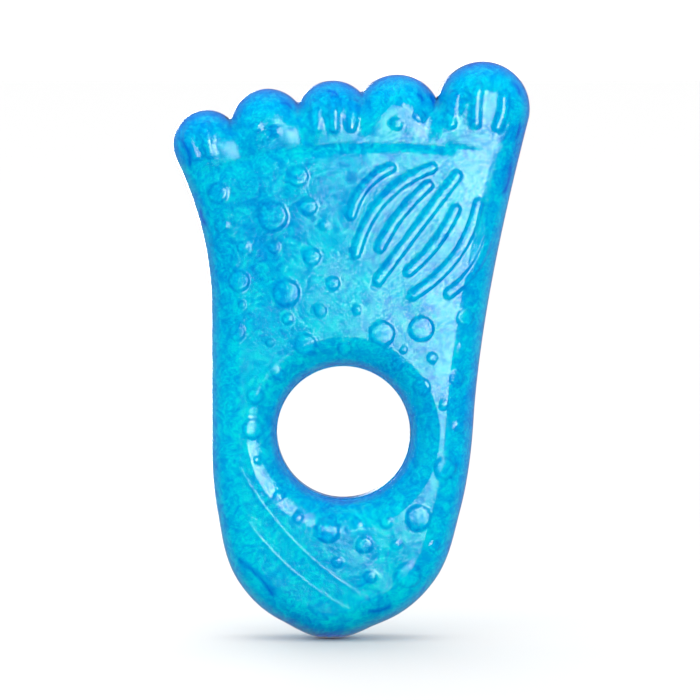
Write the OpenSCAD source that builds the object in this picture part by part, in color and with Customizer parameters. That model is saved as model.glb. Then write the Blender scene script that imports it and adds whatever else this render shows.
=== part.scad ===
// Foot-shaped gel teether with a grip hole through the heel.
// Two moulded EVA half shells are welded at a tongue-and-groove seam round the
// outline and round the grip hole, and hold a gel filling. The filling goes in
// through a neck under the heel, which a plug and a melted-over seal close.
//
// The origin is the centre of the grip hole. X is across the foot, Z runs from
// heel to toes, and Y is the thickness, with the sole facing -Y.
// All sizes are in millimetres.

/* [Thickness] */
// Height of the rolled edge above the seam plane
edge_h = 6.4; // [5.5:0.1:7.5]
// Width of the rolled edge, from the outline inwards
edge_w = 8; // [7:0.5:9]
// Extra height of the gently crowned middle
crown_h = 1.1; // [0.5:0.1:1.5]
// Overall depth that the front half is brought to, over its bumps
front_depth = 7.9; // [7.8:0.05:8]
// Overall depth that the back half is brought to, over its bumps
back_depth = 7.6; // [7.5:0.05:7.7]
// Wall thickness of the shells
wall = 1.8; // [1.4:0.1:2]
// Width of the welded land along the outline
land_w = 3; // [2.6:0.1:3.4]

/* [Grip hole] */
// Radius of the grip hole
hole_r = 13.3; // [12:0.1:14]
// Straight length of the hole's wall on each side of the seam
hole_land = 2; // [1.5:0.1:2.5]

/* [Relief] */
// Height of the round chewing bumps above the skin, as a share of their radius
bump_rise = 0.3; // [0.2:0.05:0.4]
// Radius of the rounded chewing ridges
ridge_r = 1.15; // [0.9:0.05:1.3]
// Height of the ridges above the skin
ridge_rise = 0.6; // [0.4:0.05:0.8]
// Depth of the crease under the toes
crease_depth = 1.2; // [0.6:0.1:1.6]

/* [Filler neck] */
// Distance of the neck from the hole's centre line, across the foot
neck_x = -2.7; // [-4:0.1:0]
// Radius of the ball-shaped neck under the heel
neck_ball_r = 7; // [6:0.1:8]
// Lowest point of the neck
neck_bottom = -41.6; // [-42:0.1:-41]
// Radius of the filler bore
filler_r = 2; // [1.6:0.1:2.2]
// Radius of the counterbore that the seal fills
seal_r = 3.2; // [2.8:0.1:3.6]

/* [Seam] */
// Distance from the outline to the tongue's outer side
tongue_inset = 1.1; // [0.9:0.1:1.3]
// Width of the tongue
tongue_w = 0.9; // [0.7:0.1:1.1]
// Height of the tongue
tongue_h = 1; // [0.8:0.1:1.2]

/* [Hidden] */
$fn = 48;

// Toes from the big toe to the little toe: centre across, centre up, radius.
toes = [[27.7, 64.6, 9.4], [10.7, 62.6, 8.8], [-2.1, 62.5, 7.7], [-15.1, 61, 7.6], [-27.3, 57.6, 6.8]];
// Where the sides leave the big toe and the little toe, as angles round those toes.
big_toe_start = -14;
little_toe_end = 205;
// Bezier handles of the two sides and of the heel.
left_side = [[-33.5, 54.7], [-29.7, 46.5], [-26.5, 37], [-26.5, 24.4]];
heel_bottom = -40;
left_heel = [[-26.5, -2.6], [-26.5, -21], [-20.5, -39.6], [-2.7, heel_bottom]];
right_heel = [[-2.7, heel_bottom], [15, -40], [24.6, -25.5], [26.1, 3.4]];
right_side = [[26.1, 3.4], [27.5, 23.4], [32.4, 44.8], [36.8, 62.3]];
// Creases from the notches between the toes, and the one under the toes.
toe_crease_len = 9;
toe_crease_w = 1.3;
under_toe = [[-32, 52], [-24, 53.6], [-16, 56.6], [-2, 58], [12, 58.4], [20, 57.6]];
under_toe_w = 2;

gap = 0.05;
film = 0.1;
rings_out = 11;
rings_in = 5;
drill_margin = 1;
ridge_sides = 8;
long_ridge = 8;
ball_sides = 24;
barb_r = 2.35;
barb_z = -35.8;
barb_len = 1.2;
crown_at = [2, 22];
crown_reach = [24, 44];
// The drilled wall ends at a narrow flat, and the roll starts at the flat's outer edge,
// as far out on the edge's own curve as that curve is hole_land high.
bore_edge = hole_r + 0.2;
hole_start = edge_w * (1 - sqrt(1 - pow(hole_land / edge_h, 2)));

// ---- outline ----

function bezier(p, n) = [for (i = [0:n - 1]) let (t = i / n, s = 1 - t)
    s*s*s*p[0] + 3*s*s*t*p[1] + 3*s*t*t*p[2] + t*t*t*p[3]];

function arc(centre, r, from, to, n) = [for (i = [0:n - 1]) let (a = from + (to - from) * i / n)
    centre + r * [cos(a), sin(a)]];

function middle(toe) = [toe[0], toe[1]];
function angle_of(v) = atan2(v[1], v[0]);

// The upper point where two toes' circles cross.
function notch(a, b) =
    let (d = middle(b) - middle(a), l = norm(d),
         along = (a[2]*a[2] - b[2]*b[2] + l*l) / (2*l),
         up = sqrt(a[2]*a[2] - along*along),
         side = [-d[1], d[0]] / l)
    middle(a) + along * d / l - up * side;

notches = [for (i = [0:3]) notch(toes[i], toes[i + 1])];

function toe_from(i) = i == 0 ? big_toe_start : angle_of(notches[i - 1] - middle(toes[i]));
function toe_to(i) = i == 4 ? little_toe_end : angle_of(notches[i] - middle(toes[i]));

toe_steps = [14, 8, 8, 8, 11];
outline = concat(
    [for (i = [0:4]) each arc(middle(toes[i]), toes[i][2], toe_from(i), toe_to(i), toe_steps[i])],
    bezier(left_side, 9),
    [for (i = [0:4]) [left_side[3][0], left_side[3][1] + (left_heel[0][1] - left_side[3][1]) * i / 5]],
    bezier(left_heel, 14), bezier(right_heel, 15), bezier(right_side, 11));
count = len(outline);

function tangent(i) = let (v = outline[(i + 1) % count] - outline[(i + count - 1) % count]) v / norm(v);
function inwards(i) = let (t = tangent(i)) [-t[1], t[0]];
function inset(d) = [for (i = [0:count - 1]) outline[i] + d * inwards(i)];

// ---- height of the skin over the seam plane ----

function to_segment(p, a, b) =
    let (v = b - a, t = max(0, min(1, ((p - a) * v) / (v * v)))) norm(p - a - t * v);
function to_outline(p) = min([for (i = [0:count - 1]) to_segment(p, outline[i], outline[(i + 1) % count])]);
function to_path(p, path) = min([for (i = [0:len(path) - 2]) to_segment(p, path[i], path[i + 1])]);

function roll(d, w, h) = let (t = 1 - min(max(d, 0) / w, 1)) h * sqrt(1 - t*t);
function smooth_min(a, b, k) = let (t = max(k - abs(a - b), 0) / k) min(a, b) - k * t * t / 4;
function bell(d, w) = exp(-d*d / (2*w*w));

function crown(p) = crown_h
    * bell(p[0] - crown_at[0], crown_reach[0]) * bell(p[1] - crown_at[1], crown_reach[1]);

// One crease runs down from each notch, towards the grip hole, and fades out.
function toe_crease(p, from) =
    let (down = -from / norm(from), along = (p - from) * down, aside = norm(p - from - along * down))
    bell(aside, toe_crease_w) * max(0, 1 - max(along, 0) / toe_crease_len);
function creases(p) = crease_depth * (bell(to_path(p, under_toe), under_toe_w)
    + max([for (n = notches) toe_crease(p, n)]));

function skin(p) =
    let (d = to_outline(p), e = norm(p) - bore_edge + hole_start,
         edge = smooth_min(roll(d, edge_w, edge_h), roll(e, edge_w, edge_h), 1.5),
         inner = min(d, e) / edge_w, ease = min(max(inner, 0), 1))
    max(0, edge + ease * ease * (crown(p) - creases(p)));

// Height of the cavity's ceiling, a wall's thickness under the skin.
function ceiling_h(p) =
    let (d = to_outline(p) - land_w, e = norm(p) - hole_r - land_w,
         w = edge_w - land_w + 1.5, h = edge_h - wall,
         inner = min(d, e) / edge_w, ease = min(max(inner, 0), 1))
    max(0, smooth_min(roll(d, w, h), roll(e, w, h), 1) + ease * ease * (crown(p) - creases(p)));

// ---- grids from the grip hole out to the outline ----

function cluster(k, n) = (1 - cos(180 * k / n)) / 2;
function between(a, b, k, n) = a + (b - a) * cluster(k, n);
function at(p, y) = [p[0], y, p[1]];

drill_r = hole_r - drill_margin;
cavity_edge = inset(land_w);
near_hole = hole_r + land_w;
gel_edge = inset(land_w + 2 * film);

// The seam's land between the outline and the cavity: a tongue on the back shell
// (side 1) and, a gap larger all round, the groove for it in the front shell (side -1).
tongue = [inset(tongue_inset), inset(tongue_inset + tongue_w)];
groove = [inset(tongue_inset - gap), inset(tongue_inset + tongue_w + gap)];
function seam(i, side) = let (s = side > 0 ? tongue : groove, h = side > 0 ? tongue_h : tongue_h + gap)
    [at(s[0][i], 0), at(s[0][i], -h), at(s[1][i], -h), at(s[1][i], 0)];

// One closed section of a shell, from the hole's wall over the skin to the outline
// and back under the ceiling.
function shell_section(i, side) =
    let (o = outline[i], u = o / norm(o))
    concat([at(u * drill_r, 0), at(u * drill_r, side * hole_land)],
        [for (k = [0:rings_out - 1]) let (p = between(u * bore_edge, o, k, rings_out))
            at(p, side * skin(p))],
        [at(o, 0)],
        seam(i, side),
        [for (k = [0:rings_in]) let (p = between(cavity_edge[i], u * near_hole, k, rings_in))
            at(p, side * (k == 0 || k == rings_in ? 0 : ceiling_h(p)))]);

// One closed section of the filling: in under the front ceiling, out under the back one.
function gel_half(i, side) =
    let (o = outline[i], u = o / norm(o))
    concat([at(gel_edge[i], side * film)],
        [for (k = [1:rings_in - 1]) let (p = between(cavity_edge[i], u * near_hole, k, rings_in))
            at(p, side * max(film, ceiling_h(p) - film))],
        [at(u * (near_hole + 2 * film), side * film)]);
function reversed(v) = [for (k = [len(v) - 1:-1:0]) v[k]];
function gel_section(i) = concat(gel_half(i, -1), reversed(gel_half(i, 1)));

// Joins closed sections of equal length into a ring-shaped solid. Each four-cornered
// patch is split along the diagonal that lies further from the seam plane, so that
// the filling's faces follow the shells' faces.
module ring_of(sections, flip) {
    n = len(sections);
    m = len(sections[0]);
    points = [for (s = sections) each s];
    corners = [for (i = [0:n - 1]) for (k = [0:m - 1])
        [i * m + k, i * m + (k + 1) % m, ((i + 1) % n) * m + (k + 1) % m, ((i + 1) % n) * m + k]];
    faces = [for (q = corners)
        let (y = [for (c = q) abs(points[c][1])],
             halves = y[0] + y[2] >= y[1] + y[3] ? [[0, 1, 2], [0, 2, 3]] : [[0, 1, 3], [1, 2, 3]])
        each [for (t = halves) flip ? [q[t[2]], q[t[1]], q[t[0]]] : [q[t[0]], q[t[1]], q[t[2]]]]];
    polyhedron(points = points, faces = faces, convexity = 8);
}

module half_shell(side) {
    ring_of([for (i = [0:count - 1]) shell_section(i, side)], side < 0);
}

// ---- relief ----

// Round bumps of the sole: centre across, centre up, radius.
ball_bumps = [
    [-24.9, 48.1, 2.2], [-14, 43.5, 3.2], [-6.9, 45.4, 1.9], [-8.9, 51.4, 2.2], [-3.9, 41.7, 1.1],
    [-24.2, 41.5, 1.5], [-19.8, 37.4, 1.4], [-13.8, 37.4, 1.4], [-6.2, 35.5, 1.9]
];
arch_bumps = [
    [-20.7, 30.7, 2.3], [-11.3, 28.3, 2.9], [-2, 30.2, 1.5], [-4.5, 24.8, 1.4], [-20.1, 26, 0.9],
    [-21.1, 20.4, 1.8], [-14.5, 18.5, 1], [-7.5, 18, 2.4], [-11, 23.2, 1.3], [2.7, 25, 1.1],
    [7.7, 20.2, 2.7], [15.5, 21.2, 2.7], [24.2, 23.3, 1.9], [23.5, 17.3, 1], [12, 17, 0.9],
    [17.7, 15.4, 1.2], [10.7, 13.9, 1.3], [22.6, 11.3, 1.7], [0.3, 17.2, 1.6], [-12.9, 12.1, 1.3]
];
heel_bumps = [
    [-22.4, 5.7, 1], [-17.5, 7.8, 1.8], [-18, 1.2, 2.2], [15.6, 9.6, 1.9], [20, 6.1, 1.1],
    [23.3, 1.6, 1.5], [20.3, -6.7, 2.4], [15, -16.5, 2.7], [10.5, -22, 1.1], [8.5, -17.5, 1.3],
    [4.2, -22, 1.8], [2.7, -17.5, 1], [-3.2, -19.1, 2.6], [12.9, -28.1, 2.8], [5.4, -28.4, 1.4],
    [-1.2, -25.4, 1.2], [18.1, -22.4, 1.3], [-17.1, -5, 0.9], [-12.8, -12.2, 1.2], [-9, -16.6, 1.2]
];
toe_bumps = [
    [11.8, 66.2, 1.1], [15.1, 63.4, 1.3], [10.6, 61.8, 1.4], [-13.4, 60.4, 1.2], [-17.2, 61.2, 1.2]
];

// Ridges: start, end, and how far the middle bows out to the right of that direction.
ball_ridges = [
    [[9.4, 53.1], [1.6, 43.8], 1.5], [[17.6, 53.1], [2.5, 36.2], 3],
    [[16.8, 49.6], [7.3, 37.3], 0.8], [[22.6, 51.5], [6.9, 30.7], 0.1],
    [[22.3, 44.9], [13, 32.6], -0.9], [[26.8, 46], [13.8, 27.9], -2.4],
    [[28.6, 38.4], [20.9, 28.2], -1.1]
];
heel_ridges = [
    [[-21.5, -5.2], [6.9, -34.2], 3], [[-20.5, -15.6], [3.4, -36.4], 2],
    [[-20.8, -24.3], [-13, -32.8], 0.8]
];
toe_ridges = [
    [[21.8, 67.5], [21.4, 61.8], 0.2], [[26.8, 69], [26.2, 61.8], 0.2],
    [[32, 67.5], [30.6, 61.2], -0.4], [[-5.6, 65.6], [-5.2, 61], 0.2],
    [[-1.8, 66.6], [-1.8, 61], 0.1], [[2, 65.8], [1.6, 61.2], -0.2],
    [[-30.8, 60], [-29.6, 55.4], 0.4], [[-27, 61.4], [-26.4, 55.8], 0.3]
];

// The back has evenly scattered bumps, on a spiral round the middle of the foot.
back_bump_r = 1.8;
back_pitch = 5.6;
golden_angle = 137.508;
back_bumps = [for (k = [1:120])
    let (c = back_pitch * sqrt(k) * [cos(golden_angle * k), sin(golden_angle * k)] + [1, 16])
    if (inside_outline(c) && to_outline(c) > 4 && norm(c) > hole_r + 4.5 && to_path(c, under_toe) > 3.2)
        [c[0], c[1], back_bump_r]];

// Even-odd test of a point against the outline.
function inside_outline(p) = len([for (i = [0:count - 1])
    let (a = outline[i], b = outline[(i + 1) % count])
    if ((a[1] > p[1]) != (b[1] > p[1])
        && p[0] < (b[0] - a[0]) * (p[1] - a[1]) / (b[1] - a[1]) + a[0]) 1]) % 2 == 1;

// Outward normal of the skin at a point, from its slopes.
function skin_normal(p, side) =
    let (e = 0.3, dx = (skin(p + [e, 0]) - skin(p - [e, 0])) / (2*e),
         dz = (skin(p + [0, e]) - skin(p - [0, e])) / (2*e), n = [-dx, side, -dz])
    n / norm(n);

// A low dome on the skin: the cap of a flattened ball whose widest part lies in the wall.
module bump(b, side) {
    p = [b[0], b[1]];
    n = skin_normal(p, side);
    rise = b[2] * bump_rise;
    ball_r = b[2] * 2 / sqrt(3);
    translate(at(p, side * skin(p)))
        rotate([0, acos(n[2]), angle_of([n[0], n[1]])])
            translate([0, 0, -rise]) scale([1, 1, 2 * rise / ball_r])
                sphere(r = ball_r, $fn = b[2] > 2 ? 12 : 8);
}

// The points of a ridge on the sole: from its start, through its bowed middle, to its end.
function ridge_path(r) =
    let (chord = r[1] - r[0], right = [chord[1], -chord[0]] / norm(chord),
         n = norm(chord) > long_ridge ? 5 : 2)
    [for (k = [0:n]) let (t = k / n) r[0] + t * chord + 4 * t * (1 - t) * r[2] * right];

// One ring of points round a ridge's path, sunk so that only the ridge's crest stands out.
function ridge_ring(p, along, r) =
    let (centre = at(p, ridge_r - ridge_rise - skin(p)), right = [along[1], 0, -along[0]])
    [for (j = [0:ridge_sides - 1]) let (a = 360 * (j + 0.5) / ridge_sides)
        centre + r * (cos(a) * right + sin(a) * [0, 1, 0])];

// A rounded ridge that follows the skin, with a smaller ring at each end to round it off.
module ridge(r) {
    path = ridge_path(r);
    n = len(path) - 1;
    along = [for (k = [0:n]) let (v = path[min(k + 1, n)] - path[max(k - 1, 0)]) v / norm(v)];
    rings = concat([ridge_ring(path[0] - 0.8 * ridge_r * along[0], along[0], 0.5 * ridge_r)],
        [for (k = [0:n]) ridge_ring(path[k], along[k], ridge_r)],
        [ridge_ring(path[n] + 0.8 * ridge_r * along[n], along[n], 0.5 * ridge_r)]);
    m = ridge_sides;
    last = (len(rings) - 1) * m;
    sides = [for (i = [0:len(rings) - 2]) for (j = [0:m - 1]) let (q = i * m + j, w = i * m + (j + 1) % m)
        each [[q, w + m, w], [q, q + m, w + m]]];
    polyhedron(points = [for (c = rings) each c], convexity = 4,
        faces = concat(sides, [[for (j = [0:m - 1]) j], [for (j = [m - 1:-1:0]) last + j]]));
}

module front_relief() {
    for (b = concat(ball_bumps, arch_bumps, heel_bumps, toe_bumps)) bump(b, -1);
    for (r = concat(ball_ridges, heel_ridges, toe_ridges)) ridge(r);
}

module back_relief() {
    for (b = back_bumps) bump(b, 1);
}

// ---- filler neck ----

neck_top = heel_bottom + land_w;
seat_z = neck_bottom + neck_ball_r - sqrt(pow(neck_ball_r, 2) - pow(seal_r + 1, 2));

module neck_ball() {
    translate([neck_x, 0, neck_bottom + neck_ball_r]) sphere(r = neck_ball_r);
}

// The half of the ball-shaped neck on one side of the seam plane.
module half_neck(side) {
    intersection() {
        neck_ball($fn = ball_sides);
        translate([neck_x - neck_ball_r, side > 0 ? 0 : -neck_ball_r, neck_bottom - 1])
            cube([2 * neck_ball_r, neck_ball_r, neck_top - neck_bottom + 1]);
    }
}

module along_neck(r, from, to) {
    translate([neck_x, 0, from]) cylinder(r = r, h = to - from);
}

// What is bored out of both shells after welding.
module bores() {
    rotate([90, 0, 0]) cylinder(r = hole_r, h = 4 * hole_land, center = true);
    along_neck(filler_r, neck_bottom - 1, barb_z + 0.4);
    along_neck(seal_r, neck_bottom - 1, seat_z);
}

// A ring round the grip hole, for the tongue and the groove there.
module hole_ring(r, w, from, to) {
    rotate([90, 0, 0]) translate([0, 0, -to]) rotate_extrude() translate([r, 0]) square([w, to - from]);
}

// ---- sub-parts ----

module front_shell() {
    color("deepskyblue") difference() {
        resize([0, front_depth, 0]) {
            half_shell(-1);
            half_neck(-1);
            front_relief();
        }
        bores();
        hole_ring(hole_r + tongue_inset - gap, tongue_w + 2 * gap, -tongue_h - gap, 1);
    }
}

module back_shell() {
    color("dodgerblue") difference() {
        union() {
            resize([0, back_depth + tongue_h, 0]) {
                half_shell(1);
                half_neck(1);
                back_relief();
            }
            hole_ring(hole_r + tongue_inset, tongue_w, -tongue_h, 0.5);
        }
        bores();
    }
}

module gel_filling() {
    color("paleturquoise") difference() {
        ring_of([for (i = [0:count - 1]) gel_section(i)], false);
        along_neck(barb_r + 4 * film, neck_top - 2, barb_z + barb_len + 2 * film);
    }
}

module filler_plug() {
    color("white") {
        along_neck(filler_r - gap, seat_z, barb_z + 0.2);
        translate([neck_x, 0, barb_z]) cylinder(r1 = barb_r, r2 = barb_r - 0.8, h = barb_len);
    }
}

module filler_seal() {
    color("steelblue") intersection() {
        neck_ball();
        along_neck(seal_r - gap, neck_bottom - 1, seat_z);
    }
}

front_shell();
back_shell();
gel_filling();
filler_plug();
filler_seal();
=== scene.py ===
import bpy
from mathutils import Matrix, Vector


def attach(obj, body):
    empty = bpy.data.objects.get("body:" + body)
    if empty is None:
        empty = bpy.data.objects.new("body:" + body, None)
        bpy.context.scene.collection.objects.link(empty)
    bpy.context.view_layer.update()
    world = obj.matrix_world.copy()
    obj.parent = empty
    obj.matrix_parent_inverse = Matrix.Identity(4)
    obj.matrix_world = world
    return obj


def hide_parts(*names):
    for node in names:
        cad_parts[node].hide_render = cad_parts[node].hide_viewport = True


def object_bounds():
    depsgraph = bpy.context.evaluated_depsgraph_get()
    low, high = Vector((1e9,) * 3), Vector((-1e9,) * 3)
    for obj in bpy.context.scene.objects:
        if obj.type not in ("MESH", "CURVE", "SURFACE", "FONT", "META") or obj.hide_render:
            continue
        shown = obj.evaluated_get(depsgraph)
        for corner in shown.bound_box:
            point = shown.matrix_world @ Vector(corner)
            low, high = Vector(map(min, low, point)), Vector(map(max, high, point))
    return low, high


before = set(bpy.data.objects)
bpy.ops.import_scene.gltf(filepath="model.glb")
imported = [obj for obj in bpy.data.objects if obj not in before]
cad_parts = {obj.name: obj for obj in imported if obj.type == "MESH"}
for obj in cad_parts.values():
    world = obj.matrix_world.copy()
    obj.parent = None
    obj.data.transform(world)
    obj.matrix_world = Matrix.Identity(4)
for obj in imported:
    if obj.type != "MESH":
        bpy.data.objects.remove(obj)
CAD_BOX = [list(v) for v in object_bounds()]

# Foot-shaped gel teether: a clear tinted skin in two halves round a frosted gel.
# The shapes are worked out in millimetres, in the CAD's frame, and scaled as they are made.

import math

import bpy
import numpy as np
from mathutils import Vector

MM = 0.001

# ---- the foot's outline, as in the CAD but for a fuller heel ----

# Toes from the big toe to the little toe: centre across, centre up, radius.
TOES = [(27.7, 64.6, 9.4), (10.7, 62.6, 8.8), (-2.1, 62.5, 7.7), (-15.1, 61.0, 7.6),
        (-27.3, 57.6, 6.8)]
BIG_TOE_START, LITTLE_TOE_END = -14.0, 205.0
LEFT_SIDE = [(-33.5, 54.7), (-29.7, 46.5), (-26.5, 37.0), (-26.5, 24.4)]
LEFT_HEEL = [(-26.5, -2.6), (-26.5, -21.0), (-20.5, -39.6), (-2.7, -40.0)]
RIGHT_HEEL = [(-2.7, -40.0), (15.0, -40.0), (24.6, -25.5), (26.1, 3.4)]
RIGHT_SIDE = [(26.1, 3.4), (27.5, 23.4), (32.4, 44.8), (36.8, 62.3)]
NECK_X, NECK_DROP, NECK_SPREAD = -2.7, 1.6, 5.8
HEEL_FULLER = 1.05  # how much wider the heel is than the plain curves make it
UNDER_TOE = [(-32, 52), (-24, 53.6), (-16, 56.6), (-2, 58), (12, 58.4), (20, 57.6)]

HOLE_R = 13.3
BORE_EDGE = HOLE_R + 0.2
HOLE_LAND = 2.0  # straight part of the hole's wall on each side of the seam
EDGE_H, EDGE_W = 6.3, 5.7  # height and width of the rolled edge
CROWN_H, CROWN_AT, CROWN_REACH = 1.2, (2.0, 22.0), (24.0, 70.0)
CREASE_DEPTH = 1.2
CREASE_LENGTH = 9.0
WALL, LAND = 1.3, 1.5  # how far the gel lies under the skin, and inside the outline


def smoothstep(t):
    t = np.clip(t, 0, 1)
    return t * t * (3 - 2 * t)


def notch(a, b):
    """The upper point where two toes' circles cross."""
    a, b = np.array(a), np.array(b)
    d = b[:2] - a[:2]
    length = np.linalg.norm(d)
    along = (a[2] ** 2 - b[2] ** 2 + length**2) / (2 * length)
    up = math.sqrt(a[2] ** 2 - along**2)
    side = np.array([-d[1], d[0]]) / length
    return a[:2] + along * d / length - up * side


NOTCHES = [notch(TOES[i], TOES[i + 1]) for i in range(4)]


def fine_outline():
    """The closed outline as many short steps, with the filler neck's bulge under the heel."""
    pts = []
    for i, (cx, cz, r) in enumerate(TOES):
        a0, a1 = BIG_TOE_START, LITTLE_TOE_END
        if i > 0:
            a0 = math.degrees(math.atan2(NOTCHES[i - 1][1] - cz, NOTCHES[i - 1][0] - cx))
        if i < 4:
            a1 = math.degrees(math.atan2(NOTCHES[i][1] - cz, NOTCHES[i][0] - cx))
        a = np.radians(np.linspace(a0, a1, 160, endpoint=False))
        pts.append(np.stack([cx + r * np.cos(a), cz + r * np.sin(a)], 1))
    t = np.linspace(0, 1, 300, endpoint=False)[:, None]
    for b in (LEFT_SIDE, (LEFT_SIDE[3], LEFT_HEEL[0]), LEFT_HEEL, RIGHT_HEEL, RIGHT_SIDE):
        p = np.array(b)
        s = 1 - t
        if len(p) == 2:
            pts.append(p[0] + t * (p[1] - p[0]))
        else:
            pts.append(s**3 * p[0] + 3 * s**2 * t * p[1] + 3 * s * t**2 * p[2] + t**3 * p[3])
    out = np.concatenate(pts)
    aside = out[:, 0] - NECK_X
    fuller = HEEL_FULLER * smoothstep(-(out[:, 1] + 16) / 14) * np.clip(aside / 6, -1, 1)
    low = np.clip(-out[:, 1] / 20 - 1, 0, 1)
    out[:, 1] -= low * NECK_DROP * np.exp(-np.abs(aside / NECK_SPREAD) ** 3)
    out[:, 0] += fuller
    return out


def bell(d, w):
    """1 at d = 0, fading as a bell of that width."""
    return np.exp(-d * d / (2 * w * w))


def resample(pts, n):
    closed = np.vstack([pts, pts[:1]])
    s = np.concatenate([[0], np.cumsum(np.linalg.norm(np.diff(closed, axis=0), axis=1))])
    at = np.linspace(0, s[-1], n, endpoint=False)
    return np.stack([np.interp(at, s, closed[:, 0]), np.interp(at, s, closed[:, 1])], 1)


OUTLINE = resample(fine_outline(), 900)


def to_path(p, path, closed=False):
    """Distance of each point to a path, with the side (positive to the left) and the share along it."""
    path = np.asarray(path, float)
    a = path if closed else path[:-1]
    b = np.roll(path, -1, 0) if closed else path[1:]
    v = b - a
    vv = (v * v).sum(1)
    best, side, share = [], [], []
    for chunk in np.array_split(p, max(1, len(p) * len(a) // 4_000_000)):
        w = chunk[:, None] - a[None]
        t = np.clip((w * v).sum(2) / vv, 0, 1)
        off = w - t[..., None] * v
        d2 = (off * off).sum(2)
        k = d2.argmin(1)
        row = np.arange(len(chunk))
        best.append(np.sqrt(d2[row, k]))
        side.append(np.sign(v[k, 0] * off[row, k, 1] - v[k, 1] * off[row, k, 0]))
        share.append((k + t[row, k]) / len(a))
    return np.concatenate(best), np.concatenate(side), np.concatenate(share)


def roll(d, w, h):
    """A quarter ellipse that rises from 0 at the edge to h at w inside it."""
    t = 1 - np.clip(d / w, 0, 1)
    return h * np.sqrt(1 - t * t)


def smooth_min(a, b, k):
    t = np.clip(k - abs(a - b), 0, None) / k
    return np.minimum(a, b) - k * t * t / 4


HOLE_START = EDGE_W * (1 - math.sqrt(1 - (HOLE_LAND / EDGE_H) ** 2))


def crown(p):
    across, up = p[:, 0] - CROWN_AT[0], p[:, 1] - CROWN_AT[1]
    return CROWN_H * bell(across, CROWN_REACH[0]) * bell(up, CROWN_REACH[1])


def creases(p):
    """Depth of the creases between the toes and of the one under them."""
    between = np.zeros(len(p))
    for n in NOTCHES:
        down = -n / np.linalg.norm(n)
        along = (p - n) @ down
        aside = np.linalg.norm(p - n - along[:, None] * down, axis=1)
        fade = np.clip(1 - np.clip(along, 0, None) / CREASE_LENGTH, 0, 1)
        between = np.maximum(between, bell(aside, 1.3) * fade)
    away, side, _ = to_path(p, UNDER_TOE)
    under = np.where(side > 0, np.exp(-away / 5.0), bell(away, 1.1))
    return CREASE_DEPTH * (0.55 * under + between)


def body_height(p, d, drop=0.0, land=0.0):
    """Height of the plain skin over the seam plane, or of what lies drop under it, land inside."""
    e = np.linalg.norm(p, axis=1) - BORE_EDGE
    w = EDGE_W - land + (1.2 if land else 0)
    start = 0 if land else HOLE_START
    edge = smooth_min(roll(d - land, w, EDGE_H - drop), roll(e - land + start, w, EDGE_H - drop), 1.5)
    ease = np.clip(np.minimum(d, e) / EDGE_W, 0, 1) ** 2
    return np.clip(edge + ease * (crown(p) - creases(p)), 0, None)


# ---- relief ----

# Round bumps of the sole: centre across, centre up, radius.
BALL_BUMPS = [
    (-24.9, 48.1, 2.2), (-14, 43.5, 3.2), (-6.9, 45.4, 1.9), (-8.9, 51.4, 2.2),
    (-3.9, 41.7, 1.1), (-24.2, 41.5, 1.5), (-19.8, 37.4, 1.4), (-13.8, 37.4, 1.4),
    (-6.2, 35.5, 1.9),
]
ARCH_BUMPS = [
    (-20.7, 30.7, 2.3), (-11.3, 28.3, 2.9), (-2, 30.2, 1.5), (-4.5, 24.8, 1.4), (-20.1, 26, 0.9),
    (-21.1, 20.4, 1.8), (-14.5, 18.5, 1), (-7.5, 18, 2.4), (-11, 23.2, 1.3), (2.7, 25, 1.1),
    (7.7, 20.2, 2.7), (15.5, 21.2, 2.7), (24.2, 23.3, 1.9), (23.5, 17.3, 1), (12, 17, 0.9),
    (17.7, 15.4, 1.2), (10.7, 13.9, 1.3), (22.6, 11.3, 1.7), (0.3, 17.2, 1.6),
    (-12.9, 12.1, 1.3),
]
HEEL_BUMPS = [
    (-22.4, 5.7, 1), (-17.5, 7.8, 1.8), (-18, 1.2, 2.2), (15.6, 9.6, 1.9), (20, 6.1, 1.1),
    (23.3, 1.6, 1.5), (20.3, -6.7, 2.4), (15, -16.5, 2.7), (10.5, -22, 1.1), (8.5, -17.5, 1.3),
    (4.2, -22, 1.8), (2.7, -17.5, 1), (-3.2, -19.1, 2.6), (12.9, -28.1, 2.8), (5.4, -28.4, 1.4),
    (-1.2, -25.4, 1.2), (18.1, -22.4, 1.3), (-17.1, -5, 0.9), (-12.8, -12.2, 1.2),
    (-9, -16.6, 1.2),
]
TOE_BUMPS = [
    (11.8, 66.2, 1.1), (15.1, 63.4, 1.3), (10.6, 61.8, 1.4), (-13.4, 60.4, 1.2),
    (-17.2, 61.2, 1.2),
]
# Ridges: start, end, and how far the middle bows out to the right of that direction.
BALL_RIDGES = [
    ((9.4, 53.1), (1.6, 43.8), 1.5), ((17.6, 53.1), (2.5, 36.2), 3),
    ((16.8, 49.6), (7.3, 37.3), 0.8), ((22.6, 51.5), (6.9, 30.7), 0.1),
    ((22.3, 44.9), (13, 32.6), -0.9), ((26.8, 46), (13.8, 27.9), -2.4),
    ((28.6, 38.4), (20.9, 28.2), -1.1),
]
HEEL_LINES = [
    ((-21.5, -5.2), (6.9, -34.2), 3), ((-20.5, -15.6), (3.4, -36.4), 2),
    ((-20.8, -24.3), (-13, -32.8), 0.8),
]
TOE_RIDGES = [
    ((21.8, 67.5), (21.4, 61.8), 0.2), ((26.8, 69), (26.2, 61.8), 0.2),
    ((32, 67.5), (30.6, 61.2), -0.4), ((-5.6, 65.6), (-5.2, 61), 0.2),
    ((-1.8, 66.6), (-1.8, 61), 0.1), ((2, 65.8), (1.6, 61.2), -0.2),
    ((-30.8, 60), (-29.6, 55.4), 0.4), ((-27, 61.4), (-26.4, 55.8), 0.3),
]
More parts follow.
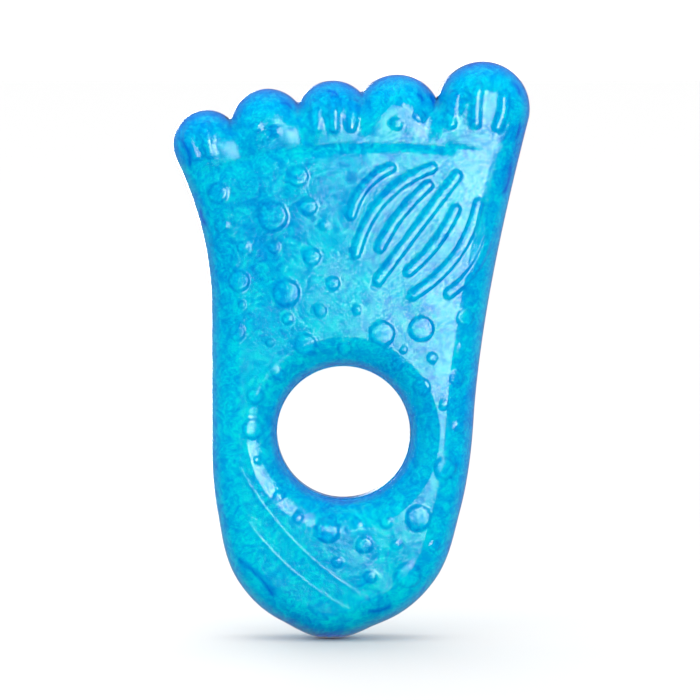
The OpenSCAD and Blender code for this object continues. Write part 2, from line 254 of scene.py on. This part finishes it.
# Short strokes of deeper blue, mostly just inside the edges: start, end, bow.
DARK_STROKES = [
    ((-32.4, 58.8), (-30.4, 53.6), -0.6), ((-20.8, -25.2), (-14.1, -32.2), -0.6),
    ((-12.4, 65.8), (-10.4, 64.9), -0.4), ((-3.0, 68.2), (-1.2, 67.4), -0.3),
    ((14.6, 67.6), (15.7, 66.2), -0.3), ((17.2, 67.2), (17.8, 65.4), -0.3),
    ((33.6, 69.8), (34.9, 67.6), -0.4), ((34.9, 61.6), (34.2, 58.8), -0.2),
    ((5.2, -35.4), (9.4, -34.4), 0.4), ((-28.4, 44.6), (-27.6, 42.0), 0.2),
    ((33.2, 53.4), (32.0, 48.2), -0.3),
]
# The back's bumps lie on a spiral round the middle of the foot.
GOLDEN = math.radians(137.508)
PITCH, BACK_MIDDLE, BACK_BUMP_R = 5.6, (1, 16), 1.8
BACK_BUMPS = [(BACK_MIDDLE[0] + PITCH * math.sqrt(k) * math.cos(GOLDEN * k),
               BACK_MIDDLE[1] + PITCH * math.sqrt(k) * math.sin(GOLDEN * k)) for k in range(1, 121)]


def bowed(r, n=14):
    """The points of a bowed stroke or ridge."""
    a, b = np.array(r[0], float), np.array(r[1], float)
    chord = b - a
    right = np.array([chord[1], -chord[0]]) / np.linalg.norm(chord)
    t = np.linspace(0, 1, n + 1)[:, None]
    return a + t * chord + 4 * t * (1 - t) * r[2] * right


def button(s, r, rise, edge):
    """A low round-edged plateau, slightly domed, that ends at r."""
    return rise * (0.7 * smoothstep((r - s) / edge) + 0.3 * np.clip(1 - (s / r) ** 2, 0, 1))


def near(p, path, reach):
    """Which points lie in the path's own box, grown by reach."""
    lo, hi = path.min(0) - reach, path.max(0) + reach
    return np.flatnonzero(((p > lo) & (p < hi)).all(1))


def front_relief(p, _=None):
    """Height of the sole's bumps, ridges and thin lines above its plain skin."""
    h = np.zeros(len(p))
    for x, z, r in BALL_BUMPS + ARCH_BUMPS + HEEL_BUMPS + TOE_BUMPS:
        away = np.hypot(p[:, 0] - x, p[:, 1] - z)
        h = np.maximum(h, button(away, r, 0.12 + 0.13 * r, 0.3 + 0.15 * r))
    for ridge in BALL_RIDGES + TOE_RIDGES:
        path = bowed(ridge)
        at = near(p, path, 2.0)
        if len(at):
            h[at] = np.maximum(h[at], button(to_path(p[at], path)[0], 1.2, 0.42, 0.6))
    for line in HEEL_LINES:
        path = bowed(line, 24)
        at = near(p, path, 2.0)
        if len(at):
            s, _, share = to_path(p[at], path)
            h[at] += 0.07 * np.clip(np.minimum(share, 1 - share) * 8, 0, 1) * bell(s, 0.22)
    return h


def back_relief(p, d):
    """Height of the back's bumps, which keep clear of the hole, the toes' crease and the edge."""
    h = np.zeros(len(p))
    keep = [b for b in BACK_BUMPS if math.hypot(*b) > HOLE_R + 4.5]
    for (x, z), from_crease in zip(keep, to_path(np.array(keep), UNDER_TOE)[0]):
        if from_crease > 3.2:
            away = np.hypot(p[:, 0] - x, p[:, 1] - z)
            h = np.maximum(h, button(away, BACK_BUMP_R, 0.35, 0.6))
    return h * np.clip((d - 2.5) / 2, 0, 1)


WAVES = np.random.default_rng(11).uniform(0, 2 * math.pi, (14, 2))


def unevenness(p):
    """The skin's slight waviness from moulding."""
    h = np.zeros(len(p))
    for i, (turn, phase) in enumerate(WAVES):
        length = 5 + 1.1 * i
        along = p[:, 0] * math.cos(turn) + p[:, 1] * math.sin(turn)
        h += 0.010 * np.sin(2 * math.pi / length * along + phase) * length / 9
    return h


# ---- meshes ----


WALL_STEPS = (0.0, 0.7, 1.4, HOLE_LAND - 0.1)  # heights of the points on the hole's wall


def radial(length, n_in, n_mid, n_out):
    """Distances along a ray of that length, close together at the hole's rim and at the outline."""
    a, b = min(6.0, 0.3 * length), min(EDGE_W, 0.42 * length)
    inner = a * (1 - np.cos(np.linspace(0, math.pi / 2, n_in, endpoint=False)))
    middle = np.linspace(a, length - b, n_mid, endpoint=False)
    outer = length - b * (1 - np.cos(np.linspace(math.pi / 2, 0, n_out + 1)))
    return np.concatenate([inner, middle, outer])


def rings(n_around, n_in, n_mid, n_out, inner_r, inset=0.0):
    """Points of a grid from the hole out to the outline, as (around, out, 2)."""
    o = resample(OUTLINE, n_around)
    r = np.linalg.norm(o, axis=1)
    u = o / r[:, None]
    reach = r - inner_r - inset
    s = np.stack([radial(L, n_in, n_mid, n_out) for L in reach])
    return u[:, None] * (inner_r + s)[..., None]


def grid_faces(n, m, flip, closed_out=False):
    """Quads of a grid that closes round the hole, and across as well if it is a ring-shaped solid."""
    i = np.arange(n)[:, None]
    k = np.arange(m if closed_out else m - 1)[None]
    i2, k2 = (i + 1) % n, (k + 1) % m
    q = np.stack([i * m + k, i * m + k2, i2 * m + k2, i2 * m + k], -1).reshape(-1, 4)
    return q[:, ::-1] if flip else q


def make(name, points, faces, material, fields):
    mesh = bpy.data.meshes.new(name)
    mesh.from_pydata((np.asarray(points) * MM).tolist(), [], faces.tolist())
    mesh.polygons.foreach_set("use_smooth", [True] * len(mesh.polygons))
    for key, values in fields.items():
        field = mesh.attributes.new(key, "FLOAT", "POINT")
        field.data.foreach_set("value", np.asarray(values, np.float32))
    mesh.materials.append(material)
    mesh.update()
    obj = bpy.data.objects.new(name, mesh)
    bpy.context.scene.collection.objects.link(obj)
    return obj


def colour_depth(p, d, e, slope):
    """Where the tint is deeper: painted shade at the rims, along the toe tops' edge and on steep
    relief, for the darker look that light's longer path through the tinted skin gives there, at the
    outline partly also the welded land's own deeper blue; and the dark strokes.
    """
    # Painted shade near the outline, the toe tops' edge and the hole's edge, and on steep relief; at
    # the outline partly the welded land's own deeper blue.
    toe_top_shade = smoothstep((p[:, 1] - 52) / 6)
    depth = 0.55 * np.exp(-d / 0.8) + 0.6 * np.exp(-e / 0.5) + 0.5 * slope
    depth += toe_top_shade * 0.3 * np.exp(-d / 1.8)
    for stroke in DARK_STROKES:
        path = bowed(stroke, 6)
        at = near(p, path, 2.0)
        depth[at] = np.maximum(depth[at], np.exp(-(to_path(p[at], path)[0] / 0.45) ** 2))
    return np.clip(depth, 0, 1)


def skin(name, side, relief, counts, material):
    """One half of the skin: the hole's wall, then over the sole or the back to the seam."""
    grid = rings(*counts, BORE_EDGE)
    n, m = grid.shape[:2]
    p = grid.reshape(-1, 2)
    d = to_path(p, OUTLINE, closed=True)[0].reshape(n, m)
    d[:, -1] = 0
    d = d.ravel()
    e = np.linalg.norm(p, axis=1) - BORE_EDGE
    calm = smoothstep(np.minimum(d, e + 1) / 2.5)
    step = 0.08
    bumps = relief(p, d)
    slope = np.hypot(relief(p + [step, 0], d) - bumps, relief(p + [0, step], d) - bumps) / step
    h = (body_height(p, d) + calm * (bumps + unevenness(p))).reshape(n, m)
    h[:, -1] = 0
    u = grid[:, 0] / np.linalg.norm(grid[:, 0], axis=1)[:, None] * HOLE_R
    wall = [np.stack([u[:, 0], np.full(n, side * y), u[:, 1]], 1)[:, None] for y in WALL_STEPS]
    over = np.stack([grid[..., 0], side * h, grid[..., 1]], 2)
    xyz = np.concatenate(wall + [over], 1)
    depth = colour_depth(p, d, e, smoothstep((slope - 0.06) / 0.4) * calm).reshape(n, m)
    # The hole's wall gets a fixed deep tint: painted shade for the darker look inside the hole.
    depth = np.concatenate([np.full((n, len(wall)), 0.8), depth], 1)
    faces = grid_faces(n, xyz.shape[1], side > 0)
    return make(name, xyz.reshape(-1, 3), faces, material, {"depth": depth.ravel()})


def gel(name, counts, material):
    """The filling: a ring-shaped solid a wall's thickness inside the skin."""
    grid = rings(*counts, BORE_EDGE + LAND, LAND)
    n, m = grid.shape[:2]
    p = grid.reshape(-1, 2)
    d = to_path(p, OUTLINE, closed=True)[0]
    e = np.linalg.norm(p, axis=1) - BORE_EDGE
    plain = body_height(p, d, WALL, LAND)
    calm = smoothstep(np.minimum(d - LAND, e - LAND) / 2)
    front = (plain + 0.6 * calm * front_relief(p)).reshape(n, m)
    back = (plain + 0.6 * calm * back_relief(p, d)).reshape(n, m)
    front[:, [0, -1]] = 0
    back[:, [0, -1]] = 0
    out = np.stack([grid[..., 0], -front, grid[..., 1]], 2)
    home = np.stack([grid[..., 0], back, grid[..., 1]], 2)[:, -2:0:-1]
    xyz = np.concatenate([out, home], 1)
    # Painted shade: the gel's tint deepens toward the outline and the hole, for the darker look of its
    # edges.
    rim = np.exp(-np.clip(np.minimum(d, e) - LAND, 0, None) / 2.2).reshape(n, m)
    rim = np.concatenate([rim, rim[:, -2:0:-1]], 1)
    faces = grid_faces(n, xyz.shape[1], False, True)
    return make(name, xyz.reshape(-1, 3), faces, material, {"rim": rim.ravel()})


# ---- materials ----


SOCKETS = {"color": "Base Color", "rough": "Roughness", "ior": "IOR", "normal": "Normal",
           "through": "Transmission Weight", "shine": "Specular IOR Level",
           "glow": "Emission Strength", "glow_color": "Emission Color"}


class Nodes:
    """A material's node tree, with short calls for what the materials here use."""

    def __init__(self, name):
        self.material = bpy.data.materials.new(name)
        self.material.use_nodes = True
        self.tree = self.material.node_tree
        self.bsdf = self.tree.nodes["Principled BSDF"]

    @classmethod
    def of_tree(cls, tree):
        it = cls.__new__(cls)
        it.tree = tree
        return it

    def node(self, kind, inputs=None, **settings):
        n = self.tree.nodes.new("ShaderNode" + kind)
        for key, value in settings.items():
            setattr(n, key, value)
        for key, value in (inputs or {}).items():
            self.feed(n.inputs[key], value)
        return n

    def feed(self, socket, value):
        if isinstance(value, bpy.types.NodeSocket):
            self.tree.links.new(value, socket)
        else:
            socket.default_value = value

    def place(self):
        return self.node("TexCoord").outputs["Object"]

    def noise(self, scale, detail=4.0, rough=0.55, distort=0.0, at=None):
        n = self.node("TexNoise", {"Vector": at or self.place(), "Scale": scale, "Detail": detail,
                                   "Roughness": rough, "Distortion": distort})
        return n.outputs["Fac"]

    def maths(self, op, a, b=0.0, clamp=False):
        n = self.node("Math", operation=op, use_clamp=clamp)
        self.feed(n.inputs[0], a)
        self.feed(n.inputs[1], b)
        return n.outputs[0]

    def span(self, value, low, high):
        """0 below low, 1 above high, smooth between."""
        n = self.node("MapRange", {"Value": value, "From Min": low, "From Max": high},
                      interpolation_type="SMOOTHSTEP")
        return n.outputs["Result"]

    def mix(self, share, a, b):
        n = self.node("Mix", data_type="RGBA")
        self.feed(n.inputs["Factor"], share)
        self.feed(n.inputs[6], a)
        self.feed(n.inputs[7], b)
        return n.outputs[2]

    def field(self, name):
        return self.node("Attribute", attribute_name=name).outputs["Fac"]

    def set(self, **values):
        for key, value in values.items():
            self.feed(self.bsdf.inputs[SOCKETS[key]], value)
        return self.material

    def bump(self, height, distance, strength=1.0):
        n = self.node("Bump", {"Height": height, "Distance": distance, "Strength": strength})
        return n.outputs["Normal"]


def skin_material():
    m = Nodes("clear_skin")
    at = m.place()
    broad = m.noise(45.0, 3.0, 0.5, 0.4, at)
    mottle = m.noise(300.0, 8.0, 0.72, 2.4, at)
    fine = m.noise(800.0, 6.0, 0.7, 1.6, at)
    flecks = m.maths("MULTIPLY", m.span(fine, 0.50, 0.60), m.span(broad, 0.44, 0.58))
    tint = m.mix(m.span(mottle, 0.42, 0.58), (0.0, 0.60, 0.93, 1), (0.30, 1.0, 0.98, 1))
    tint = m.mix(m.maths("MULTIPLY", flecks, 0.85), tint, (0.0, 0.36, 0.86, 1))
    # Deep blue from the per-point field: painted shade at the rims, in the hole and on steep relief,
    # partly the welded land's own deeper blue, and the dark strokes.
    tint = m.mix(m.field("depth"), tint, (0.0, 0.10, 0.74, 1))
    rough = m.maths("ADD", m.maths("MULTIPLY", m.span(mottle, 0.40, 0.62), 0.09), 0.04)
    return m.set(color=tint, rough=rough, ior=1.47, through=1.0, normal=m.bump(mottle, 0.0002, 0.35))


def gel_material():
    m = Nodes("frosted_gel")
    at = m.place()
    broad = m.noise(70.0, 3.0, 0.5, 0.4, at)
    cloud = m.noise(260.0, 6.0, 0.62, 1.2, at)
    veins = m.noise(520.0, 8.0, 0.68, 2.2, at)
    frost = m.noise(1500.0, 5.0, 0.7, 1.0, at)
    crack = m.maths("ABSOLUTE", m.maths("SUBTRACT", veins, 0.5))
    crack = m.maths("SUBTRACT", 1.0, m.span(crack, 0.0, 0.035), True)
    patchy = m.span(broad, 0.42, 0.6)
    crack = m.maths("MULTIPLY", crack, m.maths("ADD", m.maths("MULTIPLY", patchy, 0.6), 0.3))
    tone = m.mix(m.span(cloud, 0.36, 0.56), (0.0, 0.66, 0.94, 1), (0.0, 1.0, 1.0, 1))
    tone = m.mix(m.maths("MULTIPLY", m.span(frost, 0.5, 0.72), 0.5), tone, (0.02, 1.0, 0.98, 1))
    tone = m.mix(m.maths("MULTIPLY", patchy, 0.25), tone, (0.0, 0.74, 0.96, 1))
    tone = m.mix(m.maths("MULTIPLY", crack, 0.7), tone, (0.0, 0.32, 0.84, 1))
    # Painted shade: a darker blue toward the gel's rims.
    tone = m.mix(m.maths("MULTIPLY", m.field("rim"), 0.3), tone, (0.0, 0.46, 0.90, 1))
    height = m.maths("ADD", m.maths("MULTIPLY", veins, 1.0), m.maths("MULTIPLY", frost, 0.4))
    return m.set(color=tone, rough=0.6, shine=0.05, normal=m.bump(height, 0.0006, 0.5))


def plug_material():
    m = Nodes("plug_plastic")
    tone = m.mix(m.span(m.noise(400.0), 0.4, 0.6), (0.0, 0.36, 0.78, 1), (0.0, 0.50, 0.85, 1))
    return m.set(color=tone, rough=0.35)


def seal_material():
    m = Nodes("seal_plastic")
    tone = m.mix(m.span(m.noise(600.0), 0.4, 0.6), (0.0, 0.22, 0.70, 1), (0.0, 0.36, 0.82, 1))
    return m.set(color=tone, rough=0.18, normal=m.bump(m.noise(900.0), 0.0002, 0.4))


# ---- the pieces ----

CLEAR = skin_material()
sole = skin("sole_skin", -1, front_relief, (560, 14, 128, 22), CLEAR)
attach(sole, "root")
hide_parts("front_shell")

back = skin("back_skin", 1, back_relief, (560, 12, 118, 20), CLEAR)
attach(back, "root")
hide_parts("back_shell")

filling = gel("gel_body", (420, 8, 60, 14), gel_material())
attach(filling, "root")
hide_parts("gel_filling")

for node, material in (("filler_plug", plug_material()), ("filler_seal", seal_material())):
    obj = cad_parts[node]
    obj.data.materials.clear()
    obj.data.materials.append(material)

# ---- studio ----

FLOOR_Z = CAD_BOX[0][2]
SKY = 1.46  # the white surroundings' strength
scene = bpy.context.scene
scene.view_settings.view_transform = "Standard"

floor_mesh = bpy.data.meshes.new("studio_floor")
floor_corners = [(-6, -6, FLOOR_Z), (6, -6, FLOOR_Z), (6, 6, FLOOR_Z), (-6, 6, FLOOR_Z)]
floor_mesh.from_pydata(floor_corners, [], [(0, 1, 2, 3)])
white = Nodes("studio_white")
white.set(color=(0.545, 0.545, 0.545, 1), rough=0.9, glow_color=(1, 1, 1, 1), glow=0.02)
floor_mesh.materials.append(white.material)
floor_obj = bpy.data.objects.new("studio_floor", floor_mesh)
scene.collection.objects.link(floor_obj)
floor_obj.visible_glossy = False

world = bpy.data.worlds.new("studio")
world.use_nodes = True
# White all round, but for the gloss only a faint backdrop, as in a studio with a dark front.
sky = Nodes.of_tree(world.node_tree)
toward = sky.node("SeparateXYZ", {"Vector": sky.node("TexCoord").outputs["Generated"]})
rays = sky.node("LightPath")
reflected = sky.maths("SUBTRACT", 1.0, rays.outputs["Is Transmission Ray"])
gloss = sky.maths("MULTIPLY", rays.outputs["Is Glossy Ray"], reflected)
backdrop = sky.maths("MULTIPLY", sky.span(toward.outputs["Y"], -0.1, 0.6), 0.22)
dark = sky.maths("MULTIPLY", gloss, sky.maths("SUBTRACT", 1.0, backdrop))
strength = sky.maths("MULTIPLY", sky.maths("SUBTRACT", 1.0, dark), SKY)
background = world.node_tree.nodes["Background"]
background.inputs["Color"].default_value = (1, 1, 1, 1)
sky.feed(background.inputs["Strength"], strength)
scene.world = world


def softbox(name, corners, radiance, fade):
    """A glowing panel seen only in the gloss, with a brightness that falls off at its left side."""
    mesh = bpy.data.meshes.new(name)
    mesh.from_pydata(corners, [], [(0, 1, 2, 3)])
    uv = mesh.uv_layers.new(name="UVMap")
    uv.data.foreach_set("uv", [0, 0, 1, 0, 1, 1, 0, 1])
    m = Nodes(name)
    across = m.node("SeparateXYZ", {"Vector": m.node("TexCoord").outputs["UV"]})
    glow = m.maths("MULTIPLY", m.span(across.outputs["X"], 0.0, fade), radiance)
    glow = m.maths("MULTIPLY", glow, m.span(across.outputs["Y"], 0.0, 0.25))
    m.set(color=(0, 0, 0, 1), rough=1.0, glow_color=(0.94, 1, 0.97, 1), glow=glow)
    mesh.materials.append(m.material)
    obj = bpy.data.objects.new(name, mesh)
    scene.collection.objects.link(obj)
    obj.visible_camera = False
    obj.visible_diffuse = False
    obj.visible_transmission = False
    obj.visible_shadow = False


PANEL = [(-0.01, -0.25, -0.066), (0.130, -0.25, -0.066), (0.160, -0.25, 0.131),
         (0.02, -0.25, 0.131)]
softbox("softbox_front", PANEL, 12.0, 0.45)
softbox("softbox_back", [(-x, -y, z) for x, y, z in PANEL], 12.0, 0.45)

overhead = bpy.data.lights.new("overhead", "SUN")
overhead.energy = 1.5
overhead.angle = math.radians(50)
overhead_obj = bpy.data.objects.new("overhead", overhead)
overhead_obj.visible_glossy = False
scene.collection.objects.link(overhead_obj)

camera = bpy.data.cameras.new("camera")
camera_obj = bpy.data.objects.new("camera", camera)
scene.collection.objects.link(camera_obj)
scene.camera = camera_obj
DISTANCE, ELEVATION, VIEW_WIDTH = 0.9, math.radians(4.5), 0.140
TARGET = Vector((0.0013, 0.0, 0.0164))
away = Vector((0, -math.cos(ELEVATION), math.sin(ELEVATION)))
camera.sensor_width = 36.0
camera.lens = 36.0 * DISTANCE / VIEW_WIDTH
camera.clip_start, camera.clip_end = 0.01, 50.0
camera_obj.location = TARGET + away * DISTANCE
camera_obj.rotation_mode = "QUATERNION"
camera_obj.rotation_quaternion = (-away).to_track_quat("-Z", "Y")
